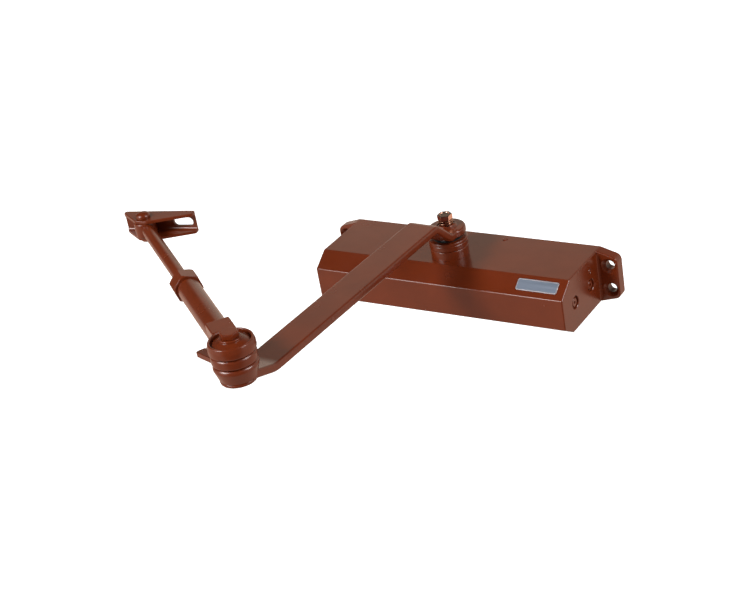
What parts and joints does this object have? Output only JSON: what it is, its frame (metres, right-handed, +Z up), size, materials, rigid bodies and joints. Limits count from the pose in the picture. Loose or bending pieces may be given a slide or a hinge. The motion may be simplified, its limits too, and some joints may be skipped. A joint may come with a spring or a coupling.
{
  "type": "door closer",
  "caption": "Surface-mounted hydraulic door closer with a folding two-bar arm, adjustable rod, hold-open elbow and frame shoe.",
  "frame": {"origin": "centre of the body's mounting face, which lies on the door", "axes": "+X along the body towards the regulating screws, +Y out of the mounting face into the door, +Z up the spindle towards the arm"},
  "size_m": [0.3351, 0.3038, 0.1211],
  "materials": {
    "brown_enamel": "gloss enamel, brown",
    "ground_steel": "ground",
    "bronzed_steel": "bronze-plated",
    "bearing_bronze": "sintered bronze",
    "seal_rubber": "moulded",
    "piston_ring_plastic": "moulded",
    "cap_plastic": "moulded",
    "plug_steel": "powder coat",
    "label_aluminium": "brushed, blank",
    "spring_steel": "oiled"
  },
  "bodies": {
    "closer_body": {"body_housing": "brown_enamel", "ball_plug": "brown_enamel", "end_ball_plug": "brown_enamel", "label_plate": "label_aluminium", "end_plug": "plug_steel", "end_plug_o_ring": "seal_rubber", "spring_seat": "ground_steel", "closing_spring": "spring_steel", "upper_bearing": "bearing_bronze", "lower_bearing": "bearing_bronze", "spindle_gland": "brown_enamel", "upper_shaft_seal": "seal_rubber", "lower_gland": "ground_steel", "lower_shaft_seal": "seal_rubber", "spindle_cap": "cap_plastic"},
    "piston_body": {"piston": "ground_steel", "piston_ring": "piston_ring_plastic", "check_ball": "ground_steel", "check_retainer": "ground_steel"},
    "spindle": {"pinion_shaft": "ground_steel", "main_arm": "brown_enamel", "arm_washer": "bronzed_steel", "arm_spring_washer": "bronzed_steel", "arm_bolt": "bronzed_steel", "elbow_pin": "bronzed_steel"},
    "hold_open": {"hold_open_disc": "brown_enamel"},
    "forearm": {"forearm_tube": "brown_enamel", "elbow_bush": "bearing_bronze", "elbow_dome_washer": "brown_enamel", "elbow_nut": "brown_enamel"},
    "lock_nut_body": {"lock_nut": "brown_enamel"},
    "rod": {"forearm_rod": "brown_enamel", "shoe_bush": "bearing_bronze"},
    "shoe": {"shoe_bracket": "brown_enamel", "shoe_pin": "brown_enamel", "pin_clip": "bronzed_steel"},
    "sweep_screw": {"sweep_valve": "brown_enamel", "sweep_valve_o_ring": "seal_rubber"},
    "latch_screw": {"latch_valve": "brown_enamel", "latch_valve_o_ring": "seal_rubber"}
  },
  "joints": [
    {"name": "pinion_turn", "type": "hinge", "parent": "closer_body", "child": "spindle", "pos_m": [-0.0015, -0.0363, 0.04], "axis": [0, 0, 1], "range_deg": [0, 180]},
    {"name": "piston_slide", "type": "slide", "parent": "closer_body", "child": "piston_body", "axis": [1, 0, 0], "range_m": [-0.0256, 0.0002], "deforming": ["closing_spring"]},
    {"name": "elbow_fold", "type": "hinge", "parent": "spindle", "child": "forearm", "pos_m": [-0.00985, -0.28816, 0.08], "axis": [0, 0, 1], "range_deg": [-50, 120]},
    {"name": "hold_open_set", "type": "hinge", "parent": "forearm", "child": "hold_open", "pos_m": [-0.00985, -0.28816, 0.077], "axis": [0, 0, 1], "range_deg": [0, 150]},
    {"name": "forearm_length", "type": "slide", "parent": "forearm", "child": "rod", "axis": [-0.7965, 0.6046, 0], "range_m": [-0.025, 0.03]},
    {"name": "lock_nut_turn", "type": "hinge", "parent": "forearm", "child": "lock_nut_body", "pos_m": [-0.09907, -0.22045, 0.0784], "axis": [-0.7965, 0.6046, 0], "continuous": true},
    {"name": "shoe_pivot", "type": "hinge", "parent": "rod", "child": "shoe", "pos_m": [-0.19178, -0.15007, 0.0784], "axis": [0, 0, 1], "range_deg": [-48, 125]},
    {"name": "sweep_adjust", "type": "hinge", "parent": "closer_body", "child": "sweep_screw", "pos_m": [0.1, -0.0486, 0], "axis": [1, 0, 0], "range_deg": [-360, 360]},
    {"name": "latch_adjust", "type": "hinge", "parent": "closer_body", "child": "latch_screw", "pos_m": [0.1, -0.0221, 0], "axis": [1, 0, 0], "range_deg": [-360, 360]}
  ],
  "couplings": [
    {"joint": "piston_slide", "follows": "pinion_turn", "m_per_rad": -0.008}
  ]
}
